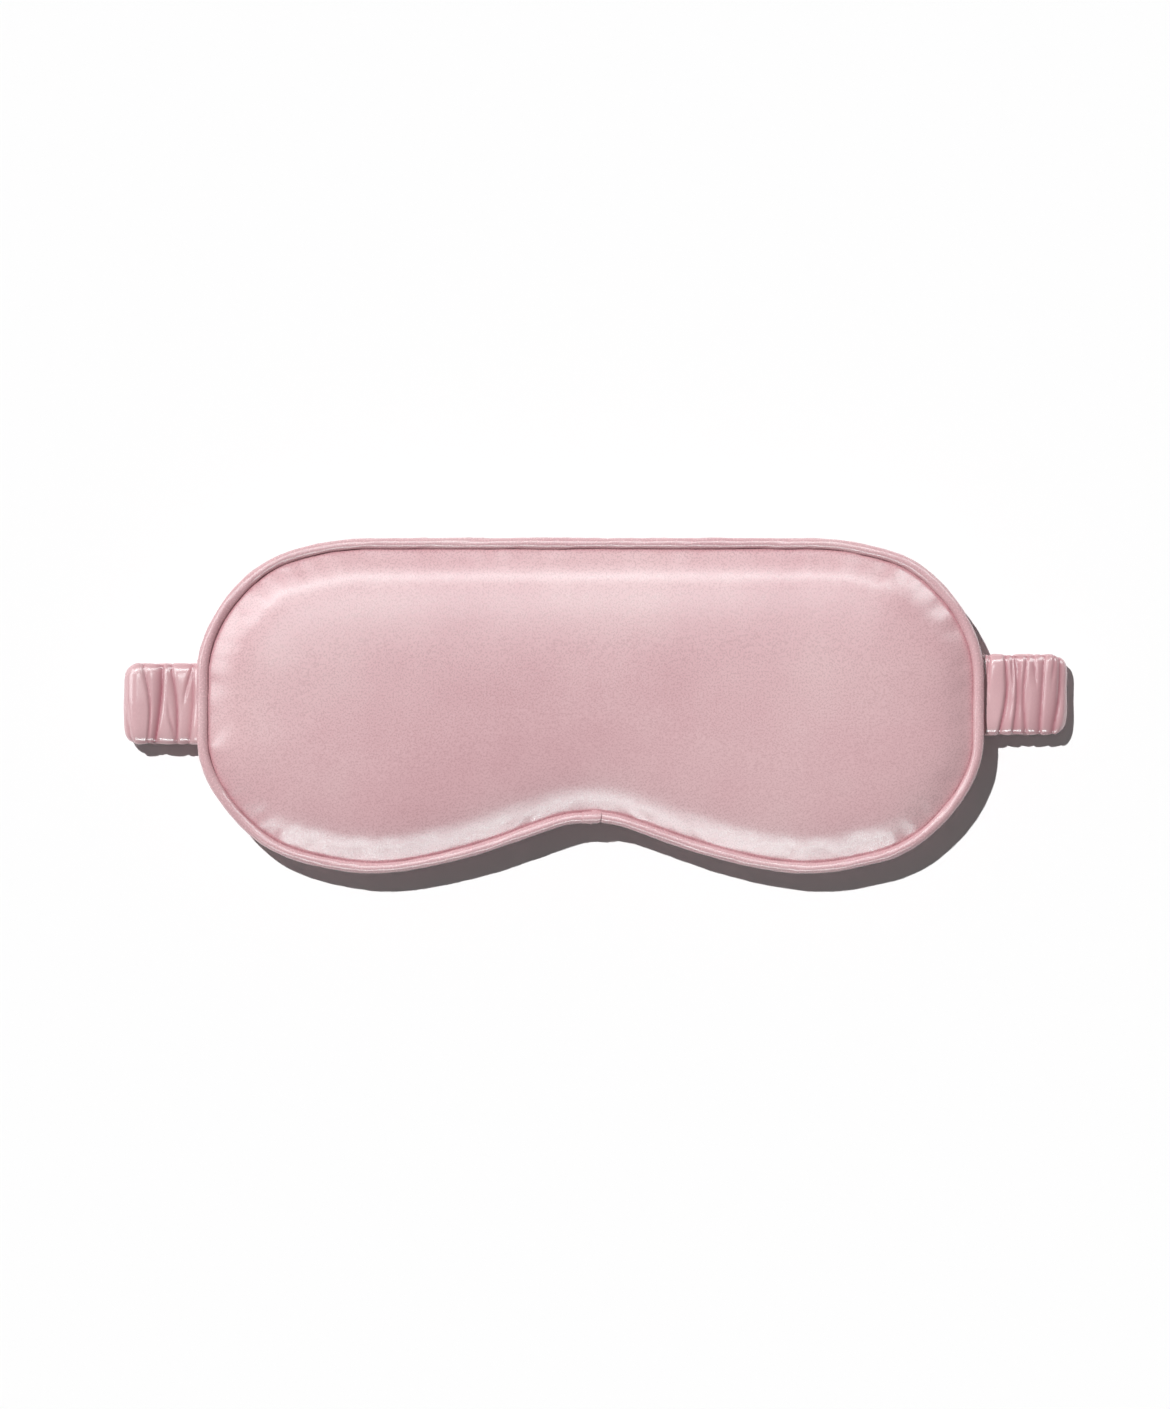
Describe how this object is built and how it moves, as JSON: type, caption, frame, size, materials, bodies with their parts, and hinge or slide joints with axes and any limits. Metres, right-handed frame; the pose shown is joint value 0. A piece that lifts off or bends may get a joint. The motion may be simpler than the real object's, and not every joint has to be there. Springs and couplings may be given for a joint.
{
  "type": "sleep eye mask",
  "caption": "Padded satin sleep mask with piped edges, a notch for the nose and a ruched elastic head strap that folds up to the side seams and opens into a loop.",
  "frame": {"origin": "on the ground under the middle of the mask, on the underside of the strap's back run", "axes": "+X across the mask to its right seen from the front, +Y towards the forehead edge, +Z out of the front face"},
  "size_m": [0.259, 0.0917, 0.017],
  "materials": {
    "satin": "glossy pink satin weave",
    "wadding": "soft white polyester wadding",
    "blackout_cloth": "matt black woven cloth",
    "cotton_cord": "twisted cotton",
    "thread": "pink polyester thread",
    "elastic": "woven elastic, ribbed"
  },
  "bodies": {
    "strap_back": {"sleeve_back": "satin", "elastic_back": "elastic"},
    "nose": {"piping_join": "satin", "piping_join_cord": "cotton_cord"},
    "mask_left": {"front_panel_left": "satin", "front_wadding_left": "wadding", "blackout_liner_left": "blackout_cloth", "back_wadding_left": "wadding", "back_panel_left": "satin", "piping_cover_left": "satin", "piping_cord_left": "cotton_cord", "seam_thread_left": "thread", "sleeve_tail_left": "satin", "elastic_tail_left": "elastic", "bar_tack_left": "thread"},
    "run_left": {"sleeve_run_left": "satin", "elastic_run_left": "elastic"},
    "end_left": {"sleeve_end_left": "satin", "elastic_end_left": "elastic", "sleeve_fold_left": "satin", "elastic_fold_left": "elastic"},
    "mask_right": {"front_panel_right": "satin", "front_wadding_right": "wadding", "blackout_liner_right": "blackout_cloth", "back_wadding_right": "wadding", "back_panel_right": "satin", "piping_cover_right": "satin", "piping_cord_right": "cotton_cord", "seam_thread_right": "thread", "sleeve_tail_right": "satin", "elastic_tail_right": "elastic", "bar_tack_right": "thread"},
    "run_right": {"sleeve_run_right": "satin", "elastic_run_right": "elastic"},
    "end_right": {"sleeve_end_right": "satin", "elastic_end_right": "elastic", "sleeve_fold_right": "satin", "elastic_fold_right": "elastic"}
  },
  "joints": [
    {"name": "strap_opening", "type": "slide", "parent": "strap_back", "child": "nose", "axis": [0, 0, 1], "range_m": [0, 0.085]},
    {"name": "nose_bend_left", "type": "hinge", "parent": "nose", "child": "mask_left", "pos_m": [0, 0, 0.0045], "axis": [0, -1, 0], "range_deg": [0, 20.05]},
    {"name": "nose_bend_right", "type": "hinge", "parent": "mask_left", "child": "mask_right", "pos_m": [0, 0, 0.0045], "axis": [0, 1, 0], "range_deg": [0, 40.05]},
    {"name": "run_lift_left", "type": "hinge", "parent": "strap_back", "child": "run_left", "pos_m": [-0.03, 0, 0.00475], "axis": [0, 1, 0], "range_deg": [0, 24.76]},
    {"name": "fold_open_left", "type": "hinge", "parent": "run_left", "child": "end_left", "pos_m": [-0.1248, 0, 0.00475], "axis": [0, -1, 0], "range_deg": [0, 54.69], "deforming": ["sleeve_fold_left", "elastic_fold_left"]},
    {"name": "run_lift_right", "type": "hinge", "parent": "strap_back", "child": "run_right", "pos_m": [0.03, 0, 0.00475], "axis": [0, -1, 0], "range_deg": [0, 24.76]},
    {"name": "fold_open_right", "type": "hinge", "parent": "run_right", "child": "end_right", "pos_m": [0.1248, 0, 0.00475], "axis": [0, 1, 0], "range_deg": [0, 54.69], "deforming": ["sleeve_fold_right", "elastic_fold_right"]}
  ],
  "couplings": [
    {"joint": "nose_bend_left", "follows": "strap_opening", "rad_per_m": 4.1067},
    {"joint": "nose_bend_right", "follows": "strap_opening", "rad_per_m": 8.2133},
    {"joint": "run_lift_left", "follows": "strap_opening", "rad_per_m": 5.0744},
    {"joint": "fold_open_left", "follows": "strap_opening", "rad_per_m": 11.22},
    {"joint": "run_lift_right", "follows": "strap_opening", "rad_per_m": 5.0744},
    {"joint": "fold_open_right", "follows": "strap_opening", "rad_per_m": 11.22}
  ]
}
